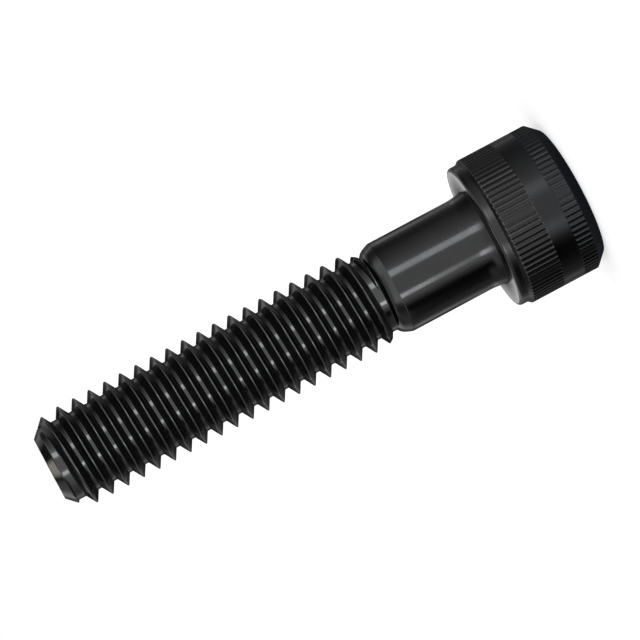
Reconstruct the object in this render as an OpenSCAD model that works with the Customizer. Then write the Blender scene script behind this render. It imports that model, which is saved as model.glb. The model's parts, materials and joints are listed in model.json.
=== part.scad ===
// Hex socket head cap screw, inch thread, partly threaded, standing on its head with the tip up.
// Origin: centre of the head's top face, on the surface it stands on. +Z runs along the axis to the tip.

/* [Length] */
// Length under the head, from the bearing face to the tip
length = 44.45; // [38:0.05:120]
// Threaded length, from the tip to the end of the run-out
thread_len = 33.1; // [12:0.1:36]

/* [Thread] */
// Distance from one thread to the next
pitch = 1.5875; // [1.2:0.0125:2]
// Diameter over the thread's crests
thread_d = 9.34; // [8.6:0.01:9.8]
// Width of the flat on each crest
crest_flat = 0.1; // [0.05:0.01:0.2]
// Width of the flat at each root
root_flat = 0.34; // [0.1:0.01:0.4]
// Angle between the two flanks of a thread
flank_angle = 60; // [55:1:70]
// How far the last thread stands up at once from the neck, before the cone that it runs out on
run_out_rise = 0.5; // [0.1:0.02:0.8]
// Slope of that cone, measured from the axis
run_out_angle = 33; // [20:1:50]
// Angle that the thread is turned by round the axis
thread_start = 46.5; // [0:0.5:359]

/* [Tip] */
// Diameter of the flat end of the tip
tip_d = 6.02; // [4:0.01:7]
// Slope of the tip's chamfer, measured from the axis
tip_angle = 45; // [30:1:60]
// How far the first thread is drawn out toward the tip, over the chamfer
tip_lean = 0.38; // [0:0.02:0.5]

/* [Shank] */
// Diameter of the plain shank
shank_d = 8.94; // [8.7:0.01:9.3]
// How far the short neck lies inside the thread's root
neck_step = 0.05; // [0.04:0.01:0.4]
// Length of the neck
neck_len = 0.5; // [0.2:0.05:2]
// How far the steep step rises from the neck
step_rise = 0.41; // [0.2:0.01:0.6]
// Length of the steep step
step_len = 0.44; // [0.1:0.02:1]
// Length of the lead cone, from the step to the shank
lead_len = 0.8; // [0.4:0.05:3]
// Length of the shallow fillet under the head
fillet_len = 1.6; // [0.8:0.05:3]
// How far the fillet stands out from the shank at the bearing face
fillet_rise = 0.22; // [0.1:0.01:0.6]

/* [Head] */
// Diameter of the head
head_d = 14.6; // [13:0.05:20]
// Height of the head
head_h = 9.05; // [8:0.05:14]
// Height of the chamfer round the top face
top_chamfer_h = 1.08; // [0.6:0.02:1.6]
// Width of the chamfer round the top face
top_chamfer_w = 1.03; // [0.5:0.01:1.3]
// How far the plain ring next to the bearing face lies inside the knurl
ring_step = 0.29; // [0.22:0.01:0.5]
// Height of the plain ring, with its rounded rim
ring_h = 0.88; // [0.6:0.02:1.5]
// Radius of the ring's rim at the bearing face
rim_radius = 0.34; // [0.1:0.02:0.5]
// Height of the chamfer from the ring out to the knurl
ring_chamfer = 0.36; // [0.2:0.02:0.8]

/* [Knurl] */
// Number of straight teeth round the head
knurl_teeth = 80; // [40:1:100]
// Depth of the grooves between the teeth
knurl_depth = 0.1; // [0.06:0.01:0.28]
// Width of the land on top of each tooth
knurl_land = 0.14; // [0.05:0.01:0.2]
// Length of the short knurled band, next to the top chamfer
short_knurl = 1.56; // [0.8:0.02:2.4]
// Length of the plain band between the two knurled ones
plain_band = 1.98; // [0.8:0.02:3]

/* [Socket] */
// Width of the hex socket across its flats
socket_af = 7.94; // [5:0.01:8.6]
// Depth of the socket's flats
socket_depth = 4.8; // [3:0.1:6]
// How far the countersink round the socket's mouth reaches past its corners
mouth_margin = 0.26; // [0.1:0.02:0.6]
// Angle of the countersink, from side to side
mouth_angle = 120; // [90:5:140]
// How much smaller than the socket's width the drilled hole under it is
drill_gap = 0.24; // [0.1:0.02:2]
// Angle of the drill's point, from side to side
drill_angle = 118; // [90:1:140]

/* [Hidden] */
$fn = 120;

// Flat sides that each turn of the thread is made of
thread_sides = 30;
// Length of the steep face that the last thread stands up on from the neck
run_out_face = 0.1;
// Distance before the tip at which the first thread starts to be drawn out, and the length it takes
lean_start = 2.05;
lean_len = 0.7;
// How far a cutting shape runs past the surface it cuts
past = 0.5;

tip_z = head_h + length;
thread_end_z = tip_z - thread_len;
neck_z = thread_end_z - neck_len;
step_z = neck_z - step_len;
shank_end_z = step_z - lead_len;
crest_r = thread_d / 2;
flank_len = (pitch - crest_flat - root_flat) / 2;
root_r = crest_r - flank_len / tan(flank_angle / 2);
shank_r = shank_d / 2;
neck_r = root_r - neck_step;
step_r = neck_r + step_rise;
run_out_r = neck_r + run_out_rise;
run_out_z = thread_end_z + run_out_face;
head_r = head_d / 2;
ring_r = head_r - ring_step;
top_r = head_r - top_chamfer_w;
short_knurl_end = top_chamfer_h + short_knurl;
long_knurl_start = short_knurl_end + plain_band;
long_knurl_end = head_h - ring_h;

// Thread profile over one pitch: radius and height of each corner, and the height from it to the
// middle of the crest that it belongs to
half_ridge = flank_len + crest_flat / 2;
thread_profile = [
    [root_r, 0, -half_ridge],
    [root_r, root_flat, half_ridge],
    [crest_r, root_flat + flank_len, crest_flat / 2],
    [crest_r, root_flat + flank_len + crest_flat, -crest_flat / 2]
];

// How far the thread is drawn out where its crest lies this far before the tip, rising smoothly
function lean(before) =
    let (t = max(0, min(1, (lean_start - before) / lean_len)))
    tip_lean * t * t * (3 - 2 * t);

// Rod with a right-hand helical thread, from z = 0 up, closed at both ends by a fan from the axis.
// Each column of corners stands at one angle, and the columns climb one pitch in a turn.
module threaded_rod(turns) {
    corners = len(thread_profile);
    last = corners * turns;
    columns = [for (k = [0 : thread_sides - 1]) k == 0 ? last + corners : last];
    points = [
        for (k = [0 : thread_sides - 1], row = [0 : columns[k]])
            let (
                corner = thread_profile[row % corners],
                a = 360 * k / thread_sides,
                z = corner[1] + pitch * (floor(row / corners) + k / thread_sides)
            )
            [corner[0] * cos(a), corner[0] * sin(a), z + lean(pitch * (turns - 0.5) - z - corner[2])]
    ];
    // Column number thread_sides is the first one again, one turn higher
    function at(k, row) =
        k == 0 ? row
        : k == thread_sides ? row + corners
        : last + corners + 1 + (k - 1) * (last + 1) + row;
    low_centre = len(points);
    high_centre = low_centre + 1;
    polyhedron(
        concat(points, [[0, 0, pitch / 2], [0, 0, pitch * (turns + 0.5)]]),
        concat(
            [for (k = [0 : thread_sides - 1], row = [0 : last - 1])
                [at(k, row), at(k, row + 1), at(k + 1, row + 1)]],
            [for (k = [0 : thread_sides - 1], row = [0 : last - 1])
                [at(k, row), at(k + 1, row + 1), at(k + 1, row)]],
            [for (k = [0 : thread_sides - 1]) [low_centre, at(k, 0), at(k + 1, 0)]],
            [for (row = [0 : corners - 1]) [low_centre, at(0, row + 1), at(0, row)]],
            [for (k = [0 : thread_sides - 1]) [high_centre, at(k + 1, last), at(k, last)]],
            [for (row = [0 : corners - 1]) [high_centre, at(0, last + row), at(0, last + row + 1)]]
        )
    );
}

// What the thread is cut back to: the tip's flat and chamfer, and the cone and steep face of the run-out
module thread_envelope() {
    reach = crest_r + past;
    core = neck_r / 2;
    core_z = thread_end_z - (neck_r - core) * run_out_face / run_out_rise;
    rotate_extrude()
        polygon([
            [0, tip_z],
            [tip_d / 2, tip_z],
            [reach, tip_z - (reach - tip_d / 2) / tan(tip_angle)],
            [reach, run_out_z + (reach - run_out_r) / tan(run_out_angle)],
            [run_out_r, run_out_z],
            [core, core_z],
            [0, core_z]
        ]);
}

// Thread from the tip to the neck. The rod runs past the envelope by over half a pitch at each end.
module thread() {
    turns = ceil(thread_len / pitch) + 3;
    intersection() {
        translate([0, 0, tip_z - pitch * (turns - 0.5)]) rotate(thread_start) threaded_rod(turns);
        thread_envelope();
    }
}

// Half section of the plain head, turned round the axis
module turned_head() {
    rotate_extrude() {
        polygon([
            [0, 0],
            [top_r, 0],
            [head_r, top_chamfer_h],
            [head_r, long_knurl_end - ring_chamfer],
            [ring_r, long_knurl_end],
            [ring_r, head_h - rim_radius],
            [ring_r - rim_radius, head_h],
            [0, head_h]
        ]);
        translate([ring_r - rim_radius, head_h - rim_radius]) circle(rim_radius);
    }
}

// Half section of the shank, its fillet under the head and the neck, turned round the axis
module turned_shank() {
    fillet_radius = (fillet_len * fillet_len + fillet_rise * fillet_rise) / 2 / fillet_rise;
    neck_top = thread_end_z + 2 * pitch;
    rotate_extrude() {
        polygon([
            [0, head_h - past],
            [shank_r, head_h - past],
            [shank_r, shank_end_z],
            [step_r, step_z],
            [neck_r, neck_z],
            [neck_r, neck_top],
            [0, neck_top]
        ]);
        difference() {
            translate([0, head_h - past]) square([shank_r + fillet_rise, fillet_len + past]);
            translate([shank_r + fillet_radius, head_h + fillet_len]) circle(fillet_radius);
        }
    }
}

// Ring of cutting wedges that leaves the knurl's teeth standing between two heights
module knurl_cut(low, high) {
    step = 360 / knurl_teeth;
    valley_r = head_r - knurl_depth;
    half_land = knurl_land / head_r / 2 * 180 / PI;
    slope = knurl_depth / (step / 2 - half_land);
    tip_r = head_r + slope * half_land;
    translate([0, 0, low])
        linear_extrude(high - low)
            difference() {
                circle(head_r + past);
                polygon([
                    for (i = [0 : knurl_teeth - 1], side = [0, 1])
                        (side == 0 ? tip_r : valley_r) * [cos((i + side / 2) * step), sin((i + side / 2) * step)]
                ]);
            }
}

// Hex socket with a countersunk mouth and the point of the drill below it
module socket() {
    corner_r = socket_af / 2 / cos(30);
    mouth_r = corner_r + mouth_margin;
    mouth_depth = (mouth_r - socket_af / 2) / tan(mouth_angle / 2);
    drill_r = (socket_af - drill_gap) / 2;
    translate([0, 0, -past]) rotate(30) cylinder(h = socket_depth + past, r = corner_r, $fn = 6);
    translate([0, 0, -past])
        rotate_extrude()
            polygon([
                [0, 0],
                [mouth_r, 0],
                [mouth_r, past],
                [socket_af / 2, past + mouth_depth],
                [0, past + mouth_depth]
            ]);
    translate([0, 0, socket_depth]) cylinder(h = drill_r / tan(drill_angle / 2), r1 = drill_r, r2 = 0);
}

module cap_screw() {
    color([0.09, 0.095, 0.105])
        union() {
            thread();
            difference() {
                union() {
                    turned_head();
                    turned_shank();
                }
                knurl_cut(0, short_knurl_end);
                knurl_cut(long_knurl_start, long_knurl_end);
                socket();
            }
        }
}

cap_screw();
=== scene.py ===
# Hex socket cap screw standing on its head: its dressed surface, finish, light and camera.
import json
import math

import bpy
import numpy as np
from mathutils import Matrix, Vector


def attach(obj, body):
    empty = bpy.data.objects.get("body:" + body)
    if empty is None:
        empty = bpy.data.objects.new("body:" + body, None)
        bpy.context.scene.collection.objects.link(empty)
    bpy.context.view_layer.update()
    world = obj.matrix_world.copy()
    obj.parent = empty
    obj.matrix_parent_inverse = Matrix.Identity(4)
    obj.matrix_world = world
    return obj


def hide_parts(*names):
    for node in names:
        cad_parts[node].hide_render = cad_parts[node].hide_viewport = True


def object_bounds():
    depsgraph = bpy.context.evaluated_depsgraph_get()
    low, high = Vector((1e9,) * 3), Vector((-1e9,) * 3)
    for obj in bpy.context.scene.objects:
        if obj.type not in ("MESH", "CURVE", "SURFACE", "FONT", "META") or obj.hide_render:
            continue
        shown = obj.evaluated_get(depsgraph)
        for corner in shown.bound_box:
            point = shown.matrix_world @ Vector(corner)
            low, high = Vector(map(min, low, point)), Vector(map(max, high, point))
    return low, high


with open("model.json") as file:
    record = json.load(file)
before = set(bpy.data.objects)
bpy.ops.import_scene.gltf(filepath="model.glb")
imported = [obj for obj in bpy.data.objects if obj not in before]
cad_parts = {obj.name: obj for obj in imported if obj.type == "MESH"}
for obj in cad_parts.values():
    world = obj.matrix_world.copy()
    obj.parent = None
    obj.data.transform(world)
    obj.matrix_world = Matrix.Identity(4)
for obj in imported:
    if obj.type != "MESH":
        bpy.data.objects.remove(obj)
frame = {"record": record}
CAD_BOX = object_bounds()

MM = 0.001
IMAGE = 640
TURN = 2 * math.pi

# Sizes of the screw, in millimetres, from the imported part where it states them
MOUNTS = {m["name"]: m for m in frame["record"]["mounts"]}
TIP_Z = CAD_BOX[1].z / MM
HEAD_R = MOUNTS["head_side"]["dims"]["r_mm"]
SHANK_R = MOUNTS["shank"]["dims"]["r_mm"]
HEAD_H = MOUNTS["bearing_face"]["pos_m"][2] / MM

# Thread
PITCH = 1.5875
THREAD_LEN = 33.1
CREST_R = 4.67
CREST_FLAT = 0.1
ROOT_FLAT = 0.34
FLANK_LEN = (PITCH - CREST_FLAT - ROOT_FLAT) / 2
FLANK_SLOPE = 1 / math.tan(math.radians(30))
ROOT_R = CREST_R - FLANK_LEN * FLANK_SLOPE
CREST_Z = TIP_Z + PITCH / 2 + ROOT_FLAT + FLANK_LEN + CREST_FLAT / 2
THREAD_START = math.radians(46.5)
CREST_EDGE = 0.07       # how far the crest's edges are rounded
ROOT_EDGE = 0.04        # how far the root's corners are rounded

# Tip, whose first thread is drawn out over the chamfer
TIP_R = 3.01
TIP_LEAN = 0.38
LEAN_START = 2.05
LEAN_LEN = 0.7

# Neck, with the steep face and the cone that the last thread stands up on. The face starts a little
# before the thread's stated end, by the shift, and leans round the screw, most at its angle.
THREAD_END_Z = TIP_Z - THREAD_LEN
NECK_R = ROOT_R
RUN_OUT_SHIFT = 0.2
RUN_OUT_SKEW = 0.25
RUN_OUT_ANGLE = math.radians(-40)
RUN_OUT_SLOPE = math.tan(math.radians(62))
RUN_OUT_RISE = 0.45     # how far over the neck the cone starts
RUN_OUT_FACE = 0.1      # and how far past the thread's stated end
CONE_SLOPE = math.tan(math.radians(33))
LAST_CREST_Z = THREAD_END_Z - 0.35      # height below which the last crest dives toward the head
NECK_Z = THREAD_END_Z - 0.5
STEP_Z = NECK_Z - 0.35
STEP_R = NECK_R + 0.44
SHANK_END_Z = NECK_Z - 1.24
CUT_EDGE = 0.04         # how far the edges left by the chamfer and the run-out are rounded

# Head
FILLET_LEN = 1.6
FILLET_RISE = 0.22
TOP_R = HEAD_R - 1.03
TOP_CHAMFER = 1.08
RING_R = HEAD_R - 0.29
RING_Z = HEAD_H - 0.88
RING_CHAMFER = 0.36
RIM_RADIUS = 0.34
SHORT_KNURL_END = TOP_CHAMFER + 1.56
LONG_KNURL_START = SHORT_KNURL_END + 1.98
LONG_KNURL_END = RING_Z - RING_CHAMFER

# Knurl: place of each corner of a tooth, as a share of a tooth's step. Each groove is half a wave
# between two lands.
TEETH = 80
KNURL_DEPTH = 0.07
KNURL_RAMP = 0.1
LAND_SHARE = 0.15
TOOTH_SHARES = np.array([-0.15, 0.15, 0.25, 0.36, 0.46, 0.54, 0.64, 0.75])
WAVE = (np.minimum(np.abs(TOOTH_SHARES), 1 - TOOTH_SHARES) - LAND_SHARE) / (0.5 - LAND_SHARE)
TOOTH_DEPTHS = (1 - np.cos(np.pi * WAVE)) / 2

# Socket
SOCKET_FLAT = 3.97
SOCKET_DEPTH = 4.8
MOUTH_R = SOCKET_FLAT / math.cos(math.radians(30)) + 0.26
MOUTH_SLOPE = math.tan(math.radians(60))
DRILL_R = 3.85
DRILL_POINT = DRILL_R / math.tan(math.radians(59))

# Share of their shine that edges keep where they slant away from the eye: those of the head's smooth
# bands, and those of the shank up to the given height
BAND_SHEEN = 0.12
SHANK_SHEEN = 0.25
SHEEN_END_Z = 12.7

# How much lighter the ring under the head is painted, partly as wear and partly as painted highlight,
# where its edges are painted fully lighter, and how far that reaches
RING_WEAR_AND_HIGHLIGHT = 0.26
WEAR_AND_HIGHLIGHT_REACH = 0.1

# Corners round each ring of the mesh
BODY_CORNERS = 144
SOCKET_CORNERS = 96

BODY_ANGLES = np.arange(BODY_CORNERS) * TURN / BODY_CORNERS
SOCKET_ANGLES = np.arange(SOCKET_CORNERS) * TURN / SOCKET_CORNERS
HEAD_ANGLES = ((np.arange(TEETH)[:, None] + TOOTH_SHARES) * TURN / TEETH).ravel()
HEAD_DEPTHS = np.tile(TOOTH_DEPTHS, TEETH) * KNURL_DEPTH

# Longest stretch between two rings of the shank, and between the level rings at the thread's cut ends
SHANK_SPACING = 1.2
THREAD_SPACING = 0.048


def soft_min(a, b, edge):
    """Lesser of a and b, with the corner where they meet rounded over about the length edge."""
    return (a + b - np.sqrt((a - b) ** 2 + edge ** 2)) / 2


def soft_max(a, b, edge):
    """Greater of a and b, with the corner where they meet rounded over about the length edge."""
    return (a + b + np.sqrt((a - b) ** 2 + edge ** 2)) / 2


def crest_height(turn, angle):
    """Height of a crest's middle on the numbered turn: one pitch a turn, two where it dives to the
    neck, and near the tip drawn out by the lean, which rises smoothly from zero over LEAN_LEN."""
    height = CREST_Z + PITCH * (turn + (angle - THREAD_START) / TURN)
    t = np.clip((height - TIP_Z + LEAN_START) / LEAN_LEN, 0, 1)
    return height + TIP_LEAN * t ** 2 * (3 - 2 * t) - np.maximum(LAST_CREST_Z - height, 0)


def thread_radius(z, angle):
    """Radius of the full thread: from the nearest crest a straight flank drops to the root's radius,
    by the distance along the axis from the crest's flat."""
    turn = np.round((z - CREST_Z) / PITCH - (angle - THREAD_START) / TURN)
    away = np.min([np.abs(z - crest_height(turn + step, angle)) for step in (-1, 0, 1)], 0)
    flank = CREST_R - (away - CREST_FLAT / 2) * FLANK_SLOPE
    return soft_min(CREST_R, soft_max(ROOT_R, flank, ROOT_EDGE), CREST_EDGE)


def rod_radius(z, angle):
    """Radius of the threaded end: the thread, cut back to the neck by the steep face and the cone
    that it runs out on, and by the tip's 45 degree chamfer."""
    toward_head = RUN_OUT_SHIFT + RUN_OUT_SKEW * np.cos(angle - RUN_OUT_ANGLE)
    face = NECK_R + (z - THREAD_END_Z + toward_head) * RUN_OUT_SLOPE
    cone = NECK_R + RUN_OUT_RISE + (z - THREAD_END_Z - RUN_OUT_FACE) * CONE_SLOPE
    cut = soft_min(thread_radius(z, angle), soft_min(face, cone, CUT_EDGE), CUT_EDGE)
    return soft_min(np.maximum(cut, NECK_R), TIP_R + (TIP_Z - z), CUT_EDGE)


def flank_share(radius, z):
    """1 on the thread's flanks, 0 on its root and the cut ends and -1 on its crest, from the radius.
    Each goes over to the next within a twentieth of a millimetre or so. Where it is 1 the flanks are
    painted dark as shade; where it is -1 the crests are painted lighter, partly as wear and partly as
    a painted highlight."""
    over_root = np.clip((radius - ROOT_R - 0.05) / 0.06, 0, 1)
    under_crest = np.clip((CREST_R - 0.12 - radius) / 0.06, 0, 1)
    on_crest = np.clip((radius - CREST_R + 0.1) / 0.05, 0, 1)
    inside_chamfer = np.clip((TIP_R + TIP_Z - z - radius - 0.04) / 0.06, 0, 1)
    return (over_root * under_crest - on_crest) * inside_chamfer


def rounded_path(corners, steps=4):
    """Half section through the given corners (radius, height, rounding): each corner is swapped for
    a smooth bend that starts and ends at its rounding's distance along the two sides."""
    points = [np.array(c[:2], float) for c in corners]
    path = [points[0][None]]
    for before, here, after, corner in zip(points, points[1:], points[2:], corners[1:]):
        back = (before - here) / np.linalg.norm(before - here)
        on = (after - here) / np.linalg.norm(after - here)
        t = np.linspace(0, 1, steps + 1)[:, None] if corner[2] else np.zeros((1, 1))
        start, end = here + back * corner[2], here + on * corner[2]
        path.append((1 - t) ** 2 * start + 2 * t * (1 - t) * here + t ** 2 * end)
    path.append(points[-1][None])
    return np.concatenate(path)


def along(side, share):
    """Corner without a bend, a share of the way along a straight side from its first end."""
    start, end = side
    return start[0] + (end[0] - start[0]) * share, start[1] + (end[1] - start[1]) * share, 0


def split_path(path, longest):
    """The same half section with every stretch cut into equal lengths no longer than longest."""
    parts = [path[:1]]
    for a, b in zip(path, path[1:]):
        count = max(1, math.ceil(np.linalg.norm(b - a) / longest))
        parts.append(a + (b - a) * (np.arange(1, count + 1) / count)[:, None])
    return np.concatenate(parts)


class Skin:
    """Rings of corners round the axis, kept as arrays, and the triangles between them."""

    def __init__(self):
        self.places, self.flanks, self.sheens, self.faces, self.count = [], [], [], [], 0

    def rings(self, radius, height, angles, flank=0.0, sheen=0.0):
        """Adds one corner for each angle on each ring and gives their numbers, a row to a ring. The
        shares of thread flank and of edge sheen go with each corner, for the finish: the flank share
        brings painted shade on the thread's flanks and lighter colour, partly wear and partly painted
        highlight, on crests and edges."""
        radius, height, angles, flank, sheen = np.broadcast_arrays(radius, height, angles, flank, sheen)
        place = np.stack([radius * np.cos(angles), radius * np.sin(angles), height], -1)
        self.places.append(place.reshape(-1, 3))
        self.flanks.append(flank.ravel())
        self.sheens.append(sheen.ravel())
        self.count += angles.size
        return (self.count - angles.size + np.arange(angles.size)).reshape(angles.shape)

    def join(self, low, high):
        """Two triangles for each four neighbouring corners of two grids, dropping what has no area."""
        a, b, c, d = low[..., :-1], low[..., 1:], high[..., 1:], high[..., :-1]
        halves = [np.stack(corners, -1).reshape(-1, 3) for corners in ([a, b, c], [a, c, d])]
        faces = np.concatenate(halves)
        flat = (faces[:, 0] == faces[:, 1]) | (faces[:, 1] == faces[:, 2]) | (faces[:, 0] == faces[:, 2])
        self.faces.append(faces[~flat])

    def wrap(self, rings):
        """Joins each ring to the next one, all the way round."""
        closed = np.concatenate([rings, rings[:, :1]], 1)
        self.join(closed[:-1], closed[1:])

    def zip_up(self, low, low_angles, high, high_angles):
        """Joins two rings with different corners: in order of angle, each corner makes a triangle
        with the last corner passed on its own ring and on the other."""
        angles = np.concatenate([np.append(low_angles[1:], low_angles[0] + TURN),
                                 np.append(high_angles[1:], high_angles[0] + TURN)])
        on_low = np.repeat([True, False], [len(low), len(high)])[np.argsort(angles, kind="stable")]
        i, j = np.cumsum(on_low), np.cumsum(~on_low)
        low, high = np.append(low, low[0]), np.append(high, high[0])
        third = np.where(on_low, low[i], high[j])
        self.faces.append(np.stack([low[i - on_low], third, high[j - ~on_low]], -1))

    def cap(self, ring, height, faces_first):
        """Closes a ring with a fan from a point on the axis."""
        centre = self.rings(0.0, height, np.zeros(1))
        ring = np.append(ring, ring[0])
        fan = np.broadcast_to(centre, len(ring) - 1)
        order = [fan, ring[1:], ring[:-1]] if faces_first else [ring[:-1], ring[1:], fan]
        self.faces.append(np.stack(order, -1))

    def mesh(self, name):
        """Writes the corners that the triangles use, in metres, and the triangles to a mesh."""
        faces = np.concatenate(self.faces)
        used, faces = np.unique(faces, return_inverse=True)
        places, faces = np.concatenate(self.places)[used] * MM, faces.reshape(-1, 3)
        mesh = bpy.data.meshes.new(name)
        mesh.vertices.add(len(places))
        mesh.vertices.foreach_set("co", places.ravel())
        mesh.loops.add(faces.size)
        mesh.loops.foreach_set("vertex_index", faces.ravel())
        mesh.polygons.add(len(faces))
        mesh.polygons.foreach_set("loop_start", np.arange(len(faces)) * 3)
        mesh.polygons.foreach_set("loop_total", np.full(len(faces), 3))
        mesh.update(calc_edges=True)
        mesh.validate()
        for share, values in (("flank", self.flanks), ("sheen", self.sheens)):
            layer = mesh.attributes.new(share, "FLOAT", "POINT")
            layer.data.foreach_set("value", np.concatenate(values)[used].astype(np.float32))
        mesh.polygons.foreach_set("use_smooth", np.ones(len(mesh.polygons), bool))
        mesh.set_sharp_from_angle(angle=math.radians(34))
        return mesh


def socket_rings(skin):
    """Hex socket: the drill's cone, its ledge, the six flats and the countersunk mouth. A flat's
    distance at an angle is the flat's own over the cosine of the angle to its middle."""
    to_middle = (SOCKET_ANGLES + TURN / 12) % (TURN / 6) - TURN / 12
    flats = SOCKET_FLAT / np.cos(to_middle)
    lip = (MOUTH_R - flats) / MOUTH_SLOPE
    drill = np.array([0.5, 1.0])[:, None] * DRILL_R
    drill_z = SOCKET_DEPTH + (1 - drill / DRILL_R) * DRILL_POINT
    depth = np.linspace(1, 0, 9)[:, None]
    mouth = np.array([0.5, 1.0])[:, None]
    radius = np.concatenate([drill + 0 * flats, flats + 0 * depth, flats + (MOUTH_R - flats) * mouth])
    height = np.concatenate([drill_z + 0 * flats, lip + (SOCKET_DEPTH - lip) * depth, lip * (1 - mouth)])
    rings = skin.rings(radius, height, SOCKET_ANGLES)
    skin.cap(rings[0], SOCKET_DEPTH + DRILL_POINT, True)
    skin.wrap(rings)
    return rings[-1]


def head_path():
    """Half section of the head from the socket's mouth to the bearing face. More rings stand close
    to each bend and to each end of the knurl, which keeps the smooth faces between them even."""
    low = ((TOP_R, 0), (HEAD_R, TOP_CHAMFER))
    high = ((HEAD_R, LONG_KNURL_END), (RING_R, RING_Z))
    top = [(MOUTH_R + 0.25, 0, 0), (TOP_R, 0, 0.06), along(low, 0.86), along(low, 0.9),
           (HEAD_R, TOP_CHAMFER, 0.04)]
    side = [TOP_CHAMFER + 0.08, SHORT_KNURL_END - KNURL_RAMP - 0.04, SHORT_KNURL_END - KNURL_RAMP,
            SHORT_KNURL_END, SHORT_KNURL_END + 0.03, LONG_KNURL_START - 0.03, LONG_KNURL_START,
            LONG_KNURL_START + KNURL_RAMP, LONG_KNURL_START + KNURL_RAMP + 0.04, LONG_KNURL_END - 0.08]
    ring = [(HEAD_R, LONG_KNURL_END, 0.03), along(high, 0.36), along(high, 0.5), (RING_R, RING_Z, 0.04),
            (RING_R, RING_Z + 0.08, 0), (RING_R, HEAD_H - RIM_RADIUS - 0.05, 0),
            (RING_R, HEAD_H, RIM_RADIUS), (RING_R - RIM_RADIUS - 0.1, HEAD_H, 0)]
    return rounded_path(top + [(HEAD_R, height, 0) for height in side] + ring)


def head_rings(skin, mouth):
    """Head from the top face to the bearing face: the half section's radius at each height, or the
    tooth's at that angle if it is less. The grooves ramp out at the plain band. Lighter colour, partly
    wear and partly painted highlight, is a negative share of flank: full on the rim and on the outer
    edge of the ring's chamfer, slight on the ring."""
    path = head_path()
    radius, height = path[:, :1], path[:, 1:]
    from_band = np.maximum(height - LONG_KNURL_START, SHORT_KNURL_END - height)
    groove = HEAD_R - HEAD_DEPTHS * np.clip(from_band / KNURL_RAMP, 0, 1)
    inside_short = np.minimum(height - TOP_CHAMFER, SHORT_KNURL_END - height)
    inside_long = np.minimum(height - LONG_KNURL_START, LONG_KNURL_END + 0.1 - height)
    on_band = 1 - np.clip(np.maximum(inside_short, inside_long) / 0.03, 0, 1)
    sheen = np.where(height < HEAD_H, BAND_SHEEN * on_band, 1.0)
    to_edge = np.minimum(np.abs(height - HEAD_H + RIM_RADIUS / 4), np.abs(height - LONG_KNURL_END - 0.06))
    on_ring = (height > RING_Z) & (height < HEAD_H)
    # Share of lighter colour on the rim, the ring chamfer's outer edge and the ring: partly wear, partly a
    # painted highlight.
    wear_and_highlight = np.clip(1 - to_edge / WEAR_AND_HIGHLIGHT_REACH, np.where(on_ring, RING_WEAR_AND_HIGHLIGHT, 0), 1)
    rings = skin.rings(np.minimum(radius, groove), height, HEAD_ANGLES, -wear_and_highlight, sheen)
    skin.zip_up(mouth, SOCKET_ANGLES, rings[0], HEAD_ANGLES)
    skin.wrap(rings)
    return rings[-1]


def shank_rings(skin, face_edge):
    """Shank from the bearing face to the neck: the shallow fillet is an arc that ends along the
    shank, and two cones lead down to the neck."""
    radius = (FILLET_LEN ** 2 + FILLET_RISE ** 2) / 2 / FILLET_RISE
    rise = np.linspace(0, 1, 9) * FILLET_LEN
    fillet_r = SHANK_R + radius - np.sqrt(radius ** 2 - (FILLET_LEN - rise) ** 2)
    fillet = np.stack([fillet_r, HEAD_H + rise], 1)
    lead = rounded_path([(SHANK_R, SHANK_END_Z - 0.8, 0), (SHANK_R, SHANK_END_Z, 0.12),
                         (STEP_R, STEP_Z, 0.34), (NECK_R, NECK_Z, 0.08), (NECK_R, NECK_Z + 0.1, 0)], 6)
    path = split_path(np.concatenate([fillet, lead]), SHANK_SPACING)
    sheen = SHANK_SHEEN * np.clip(SHEEN_END_Z + 0.5 - path[:, 1:], 0, 1)
    rings = skin.rings(path[:, :1], path[:, 1:], BODY_ANGLES, 0.0, sheen)
    skin.zip_up(face_edge, HEAD_ANGLES, rings[0], BODY_ANGLES)
    skin.wrap(rings)
    return rings[-1]


def level_thread(skin, below, low, high):
    """Thread in level rings close together, for its cut ends, where its edges cross the cuts."""
    count = math.ceil((high - low) / THREAD_SPACING)
    height = (low + (high - low) * np.arange(1, count + 1) / count)[:, None]
    radius = rod_radius(height, BODY_ANGLES)
    rings = skin.rings(radius, height, BODY_ANGLES, flank_share(radius, height))
    skin.wrap(np.concatenate([below[None], rings]))
    return rings[-1]


def climbing_thread(skin, below, low, high):
    """Full thread between two level rings. Rows of corners climb one pitch in a turn, along the
    crest, the flanks and the root; a corner past either level ring becomes that ring's corner."""
    half = np.array([0.02, 0.05, 0.08, 0.12, 0.57, 0.61, 0.64, 0.68, 0.73])
    rows = np.concatenate([half, [PITCH / 2], PITCH - half[::-1]])
    crest_z = CREST_Z - THREAD_START / TURN * PITCH
    first = math.floor((low - crest_z) / PITCH) - 1
    turns = math.ceil((high - low) / PITCH) + 3
    base = (crest_z + PITCH * (first + np.arange(turns))[:, None] + rows).ravel()[:, None]
    height = base + PITCH * BODY_ANGLES / TURN
    radius, radius_above = rod_radius(height, BODY_ANGLES), rod_radius(np.full((1, 1), high), BODY_ANGLES)
    numbers = skin.rings(radius, height, BODY_ANGLES, flank_share(radius, height))
    above = skin.rings(radius_above, high, BODY_ANGLES, flank_share(radius_above, high))[0]
    numbers = np.where(height <= low, below, np.where(height >= high, above, numbers))
    next_turn = np.concatenate([numbers[len(rows):, 0], np.full(len(rows), above[0])])
    grid = np.concatenate([numbers, next_turn[:, None]], 1)
    skin.join(grid[:-1], grid[1:])
    return above


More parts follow.
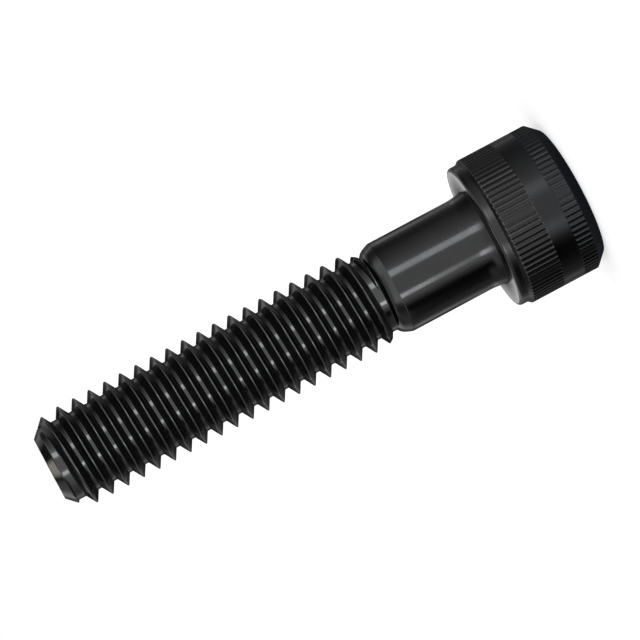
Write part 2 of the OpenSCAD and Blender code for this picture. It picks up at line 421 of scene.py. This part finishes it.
def build_screw():
    """Whole screw as one closed surface, ring by ring from the socket's bottom to the tip."""
    skin = Skin()
    edge = shank_rings(skin, head_rings(skin, socket_rings(skin)))
    full_low, full_high = THREAD_END_Z + 1.1 * PITCH, TIP_Z - 1.9 * PITCH
    edge = level_thread(skin, edge, NECK_Z + 0.1, full_low)
    edge = climbing_thread(skin, edge, full_low, full_high)
    edge = level_thread(skin, edge, full_high, TIP_Z - 0.03)
    face = skin.rings(np.array([[TIP_R - 0.01], [TIP_R - 0.08], [TIP_R / 2]]), TIP_Z, BODY_ANGLES)
    skin.wrap(np.concatenate([edge[None], face]))
    skin.cap(face[-1], TIP_Z, False)
    screw = bpy.data.objects.new("screw_surface", skin.mesh("screw_surface"))
    bpy.context.scene.collection.objects.link(screw)
    return screw


def principled(name):
    """New node material and its main shader."""
    material = bpy.data.materials.new(name)
    material.use_nodes = True
    return material, material.node_tree, material.node_tree.nodes["Principled BSDF"]


def noise(tree, where, scale, detail, roughness):
    """Noise texture on the given coordinates; scale is in waves a metre."""
    node = tree.nodes.new("ShaderNodeTexNoise")
    node.inputs["Scale"].default_value = scale
    node.inputs["Detail"].default_value = detail
    node.inputs["Roughness"].default_value = roughness
    tree.links.new(where, node.inputs["Vector"])
    return node.outputs["Fac"]


def spread(tree, value, low, high, to_low, to_high):
    """Value carried smoothly from the range low to high into the range to_low to to_high."""
    node = tree.nodes.new("ShaderNodeMapRange")
    node.interpolation_type = "SMOOTHSTEP"
    for socket, number in zip(node.inputs[1:5], (low, high, to_low, to_high)):
        socket.default_value = number
    tree.links.new(value, node.inputs["Value"])
    return node.outputs["Result"]


def above(tree, height, start, end):
    """0 below the height start and 1 above the height end, both in millimetres."""
    return spread(tree, height, start * MM, end * MM, 0.0, 1.0)


def maths(tree, operation, a, b):
    """One sum of two sockets or numbers."""
    node = tree.nodes.new("ShaderNodeMath")
    node.operation = operation
    for socket, value in zip(node.inputs, (a, b)):
        if isinstance(value, (int, float)):
            socket.default_value = value
        else:
            tree.links.new(value, socket)
    return node.outputs[0]


def mix(tree, share, a, b):
    """Number that goes from a to b as the share goes from 0 to 1; all three are sockets."""
    node = tree.nodes.new("ShaderNodeMix")
    for name, value in (("Factor", share), ("A", a), ("B", b)):
        tree.links.new(value, node.inputs[name])
    return node.outputs["Result"]


def tint(tree, share, a, b):
    """Colour that goes from a to b as the share goes from 0 to 1; a and b are sockets or colours."""
    node = tree.nodes.new("ShaderNodeMix")
    node.data_type = "RGBA"
    for socket, value in ((node.inputs["Factor"], share), (node.inputs["A"], a), (node.inputs["B"], b)):
        if isinstance(value, tuple):
            socket.default_value = value
        else:
            tree.links.new(value, socket)
    return node.outputs["Result"]


def shares(tree, name):
    """Number that goes with each corner of the mesh under the given name."""
    node = tree.nodes.new("ShaderNodeAttribute")
    node.attribute_name = name
    return node.outputs["Fac"]


# Colours of the oxide: on the head below its plain band and above it, on the top chamfer, painted
# darker and bluer as shade, on the shank, on the thread, on edges and crests, painted lighter partly
# as wear and partly as highlight, where it is cloudy, and on the thread's flanks, painted near-black
# as shade
LOW_HEAD_BLACK = (0.034, 0.0355, 0.0375, 1)
HEAD_BLACK = (0.0355, 0.0355, 0.036, 1)
CHAMFER_PAINTED_SHADE = (0.026, 0.032, 0.042, 1)
SHANK_BLACK = (0.0535, 0.054, 0.055, 1)
THREAD_GREY = (0.078, 0.079, 0.080, 1)
WEAR_AND_HIGHLIGHT_GREY = (0.115, 0.115, 0.115, 1)
CLOUD_BLACK = (0.02, 0.021, 0.023, 1)
FLANK_PAINTED_SHADE = (0.004, 0.004, 0.005, 1)


def oxide_colour(tree, height, body, flank, clouds):
    """Colour of the oxide, from the head's to the thread's by height, with painted shade on the top
    chamfer and on the shank's fillet next to the head, lighter on edges and crests, partly as wear and
    partly as painted highlight, darker in clouds, and near-black on the thread's flanks as painted shade."""
    colour = tint(tree, above(tree, height, SHORT_KNURL_END, LONG_KNURL_START), LOW_HEAD_BLACK, HEAD_BLACK)
    # The top chamfer, which faces the floor, is painted darker and bluer: painted shade.
    colour = tint(tree, above(tree, height, TOP_CHAMFER - 0.12, TOP_CHAMFER), CHAMFER_PAINTED_SHADE, colour)
    # Head to shank colour, with the head's reaching over the fillet as painted shade next to the head.
    colour = tint(tree, body, colour, SHANK_BLACK)
    colour = tint(tree, above(tree, height, SHANK_END_Z, SHANK_END_Z + 0.1), colour, THREAD_GREY)
    # Edges and crests are painted lighter: partly wear, partly a painted highlight.
    colour = tint(tree, spread(tree, flank, -1, 0, 1.0, 0.0), colour, WEAR_AND_HIGHLIGHT_GREY)
    colour = tint(tree, spread(tree, clouds, 0.3, 0.7, 0.0, 0.16), colour, CLOUD_BLACK)
    # The thread's flanks are painted near-black and lose some shine: painted shade of the grooves.
    return tint(tree, spread(tree, flank, 0, 1, 0.0, 0.75), colour, FLANK_PAINTED_SHADE)


def black_oxide():
    """Oiled black oxide on steel: a near-black metal, faintly blue and satin on the head, smoother on
    the shank and lightest on the rolled thread, whose flanks are painted dark as shade. Edges that
    slant away from the eye lose their shine, less so on the head's smooth bands."""
    material, tree, shader = principled("black_oxide")
    where = tree.nodes.new("ShaderNodeTexCoord").outputs["Object"]
    split = tree.nodes.new("ShaderNodeSeparateXYZ")
    tree.links.new(where, split.inputs[0])
    height = split.outputs["Z"]
    # The head's darker colour runs 1.1 mm up the shank's fillet as painted shade next to the head; the
    # same share carries the roughness from the head's to the shank's.
    body = above(tree, height, HEAD_H - 0.1, HEAD_H + 1.1)
    flank, sheen = shares(tree, "flank"), shares(tree, "sheen")
    clouds = noise(tree, where, 420, 3, 0.55)
    grain = noise(tree, where, 9000, 2, 0.6)
    tree.links.new(oxide_colour(tree, height, body, flank, clouds), shader.inputs["Base Color"])
    slant = tree.nodes.new("ShaderNodeLayerWeight")
    slant.inputs["Blend"].default_value = 0.5
    dull = spread(tree, slant.outputs["Facing"], 0.62, 0.76, 1.0, 0.0)
    kept = spread(tree, slant.outputs["Facing"], 0.86, 0.98, 1.0, 0.25)
    shine = maths(tree, "MULTIPLY", mix(tree, sheen, dull, kept), spread(tree, flank, 0, 1, 1.0, 0.75))
    tree.links.new(shine, shader.inputs["Metallic"])
    shader.inputs["Specular IOR Level"].default_value = 0.0
    satin = spread(tree, clouds, 0.3, 0.7, 0.2, 0.25)
    smooth = spread(tree, clouds, 0.3, 0.7, 0.11, 0.15)
    tree.links.new(mix(tree, body, satin, smooth), shader.inputs["Roughness"])
    bump = tree.nodes.new("ShaderNodeBump")
    bump.inputs["Strength"].default_value = 0.25
    bump.inputs["Distance"].default_value = 0.004 * MM
    tree.links.new(grain, bump.inputs["Height"])
    tree.links.new(bump.outputs["Normal"], shader.inputs["Normal"])
    return material


# Camera: a long lens from the side, aimed at a point on the axis, rolled so that the tip points to
# the lower left. The angles and the distance were fitted to the thread's turns in the photograph.
LENS_PX = 3800.6
AIM_Z = 25.68
DISTANCE = 343.5
RISE = math.radians(5.04)
AXIS_TILT = math.radians(28.07)
SIDE_STEP = 0.394


def camera_frame():
    """Camera's axes and place: it looks level along +Y, raised by RISE, then rolled until the screw's
    axis leans AXIS_TILT from the picture's horizontal."""
    back = Vector((0, -math.cos(RISE), math.sin(RISE)))
    level = Vector((1, 0, 0))
    up = back.cross(level)
    right = -math.sin(AXIS_TILT) * level - math.cos(AXIS_TILT) * up
    place = Vector((SIDE_STEP, 0, AIM_Z)) * MM + back * DISTANCE * MM
    axes = Matrix((right, back.cross(right), back)).transposed()
    return Matrix.Translation(place) @ axes.to_4x4()


def make_camera():
    """Camera of the photograph, with everything sharp."""
    data = bpy.data.cameras.new("camera")
    data.sensor_width = 36.0
    data.lens = LENS_PX / IMAGE * data.sensor_width
    data.clip_start, data.clip_end = 0.01, 20
    camera = bpy.data.objects.new("camera", data)
    bpy.context.scene.collection.objects.link(camera)
    camera.matrix_world = camera_frame()
    bpy.context.scene.camera = camera


# Lamps: name, angle round the screw from the camera's side, width, height of the low end, brightness
LAMPS = (("strip_upper", -28, 68, -28, 3.1), ("strip_lower", 30.2, 44, -17, 4.4))
LAMP_DISTANCE = 260
LAMP_HIGH = 95


def place_round(degrees, height):
    """A lamp's place in metres, at an angle round the screw from the camera's side, positive toward
    the picture's lower edge."""
    angle = math.radians(degrees)
    outward = Vector((-math.sin(angle), -math.cos(angle), 0))
    return outward * LAMP_DISTANCE * MM + Vector((0, 0, height * MM))


def make_lamps():
    """Two upright strips beside the camera, facing the axis. Each ends low, so that its light fades
    toward the head. A lamp's power is its brightness times its area and pi."""
    for name, degrees, width, low, brightness in LAMPS:
        data = bpy.data.lights.new(name, "AREA")
        data.shape = "RECTANGLE"
        data.size, data.size_y = width * MM, (LAMP_HIGH - low) * MM
        data.energy = brightness * math.pi * data.size * data.size_y
        light = bpy.data.objects.new(name, data)
        bpy.context.scene.collection.objects.link(light)
        light.location = place_round(degrees, (low + LAMP_HIGH) / 2)
        light.rotation_euler = Vector((*light.location.xy, 0)).to_track_quat("Z", "Y").to_euler()
        light.visible_camera = False


# Cards that the screw reflects, beside it. From the camera's eye its head, shank, thread and tip
# reflect bands of each card, one above the other, and its lead cone what is above them. A row holds
# the tones of a band at CARD_DEGREES round the screw from the camera's side, where 1 is white. They
# were set one by one, many of them worked out from the brightness that the photograph shows there.
CARD_DISTANCE = 234
CARD_DEGREES = (44, 52, 60, 70, 82, 96, 110, 122, 132, 144, 158)
LOWER_TONES = {
    "under": (0.4, 0.4, 0.4, 0.4, 0.4, 0.4, 0.4, 0.3, 0.2, 0.12, 0.1),
    "head": (0.22, 0.05, 0.015, 0.01, 0.015, 0.08, 0.16, 0.14, 0.22, 0.5, 0.5),
    "fillet": (0.85, 0.45, 0.06, 0.03, 0.06, 0.09, 0.24, 0.18, 0.34, 0.45, 0.45),
    "shank": (0.85, 0.45, 0.06, 0.03, 0.06, 0.09, 0.24, 0.22, 0.6, 1.4, 1.4),
    "thread": (0.85, 0.38, 0.03, 0.06, 0.32, 0.31, 0.25, 0.23, 0.42, 0.5, 0.5),
    "tip": (0.95, 0.98, 0.98, 0.8, 0.5, 0.36, 0.28, 0.42, 0.55, 0.6, 0.6),
    "cone": (0.9, 0.3, 0.14, 0.12, 0.2, 0.28, 0.24, 0.15, 0.6, 0.9, 0.9),
    "top": (0.55,) * len(CARD_DEGREES),
}
UPPER_TONES = {
    "under": LOWER_TONES["under"],
    "head": (0.85, 0.76, 0.66, 0.55, 0.42, 0.26, 0.2, 0.17, 0.24, 0.42, 0.45),
    "fillet": (0.85, 0.74, 0.6, 0.47, 0.33, 0.18, 0.18, 0.3, 0.4, 0.45, 0.45),
    "shank": (0.85, 0.74, 0.6, 0.47, 0.33, 0.18, 0.18, 0.38, 0.88, 0.58, 0.5),
    "thread": (0.84, 0.68, 0.52, 0.38, 0.25, 0.12, 0.13, 0.22, 0.64, 0.15, 0.2),
    "cone": (1.0, 1.0, 1.0, 1.0, 0.7, 0.2, 0.12, 0.11, 0.35, 0.6, 0.5),
}

# Height at which each band starts and ends
BODY_LEVELS = ((-400, "under"), (-120, "under"), (-85, "head"), (-24, "head"), (-19, "fillet"),
               (-11, "shank"), (-7, "shank"), (-3, "thread"))
LOWER_LEVELS = BODY_LEVELS + ((43, "thread"), (49, "tip"), (80, "tip"), (110, "cone"), (250, "cone"),
                              (330, "top"), (500, "top"))
UPPER_LEVELS = BODY_LEVELS + ((80, "thread"), (110, "cone"), (500, "cone"))

# Level discs over and under the screw: the centre, and the tone at each radius
CEILING = ((40, 20, 270), (0, 120, 160, 330), (0.07, 0.07, 0.45, 0.5))
WARM_LAMP = ((-12, -8, 250), (0, 34, 46, 62), (2.6, 2.4, 1.3, 0.07))
WARM_WHITE = (1.0, 0.95, 0.83)
# The disc under the floor is a dark sheet that stands in, in reflections, for the floor's shade round the
# head, since the floor itself is hidden from reflections.
UNDERSIDE = ((0, 4, -1), (0, 9.2, 10.9, 14), (0.06, 0.06, 0.19, 0.5))


def card(name, places, tones, colour=(1, 1, 1)):
    """Card that is seen only in reflections: a grid of places that glows with a tone at each, where
    1 is white."""
    rows, columns = tones.shape
    i = np.arange(rows * columns).reshape(rows, columns)
    faces = np.stack([i[:-1, :-1], i[:-1, 1:], i[1:, 1:], i[1:, :-1]], -1).reshape(-1, 4)
    mesh = bpy.data.meshes.new(name)
    mesh.from_pydata((places.reshape(-1, 3) * MM).tolist(), [], faces.tolist())
    layer = mesh.attributes.new("tone", "FLOAT", "POINT")
    layer.data.foreach_set("value", tones.ravel().astype(np.float32))
    mesh.update()
    piece = bpy.data.objects.new(name, mesh)
    bpy.context.scene.collection.objects.link(piece)
    material = bpy.data.materials.new(name)
    material.use_nodes = True
    tree = material.node_tree
    tree.nodes.clear()
    glow, out = tree.nodes.new("ShaderNodeEmission"), tree.nodes.new("ShaderNodeOutputMaterial")
    glow.inputs["Color"].default_value = (*colour, 1)
    tree.links.new(shares(tree, "tone"), glow.inputs["Strength"])
    tree.links.new(glow.outputs[0], out.inputs["Surface"])
    mesh.materials.append(material)
    piece.visible_camera = piece.visible_diffuse = piece.visible_shadow = False


def side_card(name, side, rows, levels):
    """Part of a tall cylinder round the screw, on one side of the camera. Each level is a height and
    the row of tones there, and the tones go over evenly from level to level and along a row."""
    around = np.linspace(CARD_DEGREES[0], CARD_DEGREES[-1], 77)
    heights = np.array([height for height, _ in levels])[:, None]
    tones = np.stack([np.interp(around, CARD_DEGREES, rows[row]) for _, row in levels])
    angle = side * np.radians(around) + 0 * heights
    places = np.stack([-np.sin(angle), -np.cos(angle), heights / CARD_DISTANCE + 0 * angle], -1)
    card(name, places * CARD_DISTANCE, tones)


def disc_card(name, disc, colour=(1, 1, 1)):
    """Level disc round its centre, with a tone for each of its radii."""
    centre, radii, tones = disc
    angle, radius = np.meshgrid(np.linspace(0, TURN, 49), radii)
    places = np.stack([np.cos(angle) * radius, np.sin(angle) * radius, 0 * angle], -1) + centre
    card(name, places, np.array(tones)[:, None] + 0 * angle, colour)


def make_cards():
    """What the screw reflects beside it, above it and below it."""
    side_card("card_lower", 1, LOWER_TONES, LOWER_LEVELS)
    side_card("card_upper", -1, UPPER_TONES, UPPER_LEVELS)
    disc_card("card_ceiling", CEILING)
    disc_card("card_warm", WARM_LAMP, WARM_WHITE)
    disc_card("card_under", UNDERSIDE)


# Half the floor's width in metres, its own glow, and the even light on everything
FLOOR_HALF = 3.0
FLOOR_GLOW = 0.6
SOFT_LIGHT = 0.55


def make_floor():
    """Wide white floor; a little glow lifts it to white where no shadow falls."""
    corners = [(x * FLOOR_HALF, y * FLOOR_HALF, 0) for x, y in ((-1, -1), (1, -1), (1, 1), (-1, 1))]
    mesh = bpy.data.meshes.new("floor")
    mesh.from_pydata(corners, [], [(0, 1, 2, 3)])
    floor = bpy.data.objects.new("floor", mesh)
    bpy.context.scene.collection.objects.link(floor)
    material, tree, shader = principled("white_floor")
    shader.inputs["Base Color"].default_value = (0.9, 0.9, 0.9, 1)
    shader.inputs["Roughness"].default_value = 0.9
    shader.inputs["Specular IOR Level"].default_value = 0.0
    seen = tree.nodes.new("ShaderNodeLightPath").outputs["Is Camera Ray"]
    shader.inputs["Emission Color"].default_value = (1, 1, 1, 1)
    tree.links.new(maths(tree, "MULTIPLY", seen, FLOOR_GLOW), shader.inputs["Emission Strength"])
    mesh.materials.append(material)
    floor.visible_glossy = floor.visible_shadow = False


def make_world():
    """White surroundings for the eye and for reflections, and a soft even light on everything."""
    world = bpy.data.worlds.new("studio")
    bpy.context.scene.world = world
    world.use_nodes = True
    tree = world.node_tree
    background = tree.nodes["Background"]
    background.inputs["Color"].default_value = (1, 1, 1, 1)
    path = tree.nodes.new("ShaderNodeLightPath")
    seen = maths(tree, "MAXIMUM", path.outputs["Is Camera Ray"], path.outputs["Is Glossy Ray"])
    seen = maths(tree, "MAXIMUM", seen, path.outputs["Is Transmission Ray"])
    tree.links.new(spread(tree, seen, 0, 1, SOFT_LIGHT, 1.0), background.inputs["Strength"])


bpy.context.scene.view_settings.view_transform = "Standard"

screw = build_screw()
screw.data.materials.append(black_oxide())
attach(screw, "root")
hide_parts("cap_screw")

make_camera()
make_lamps()
make_floor()
make_world()
make_cards()
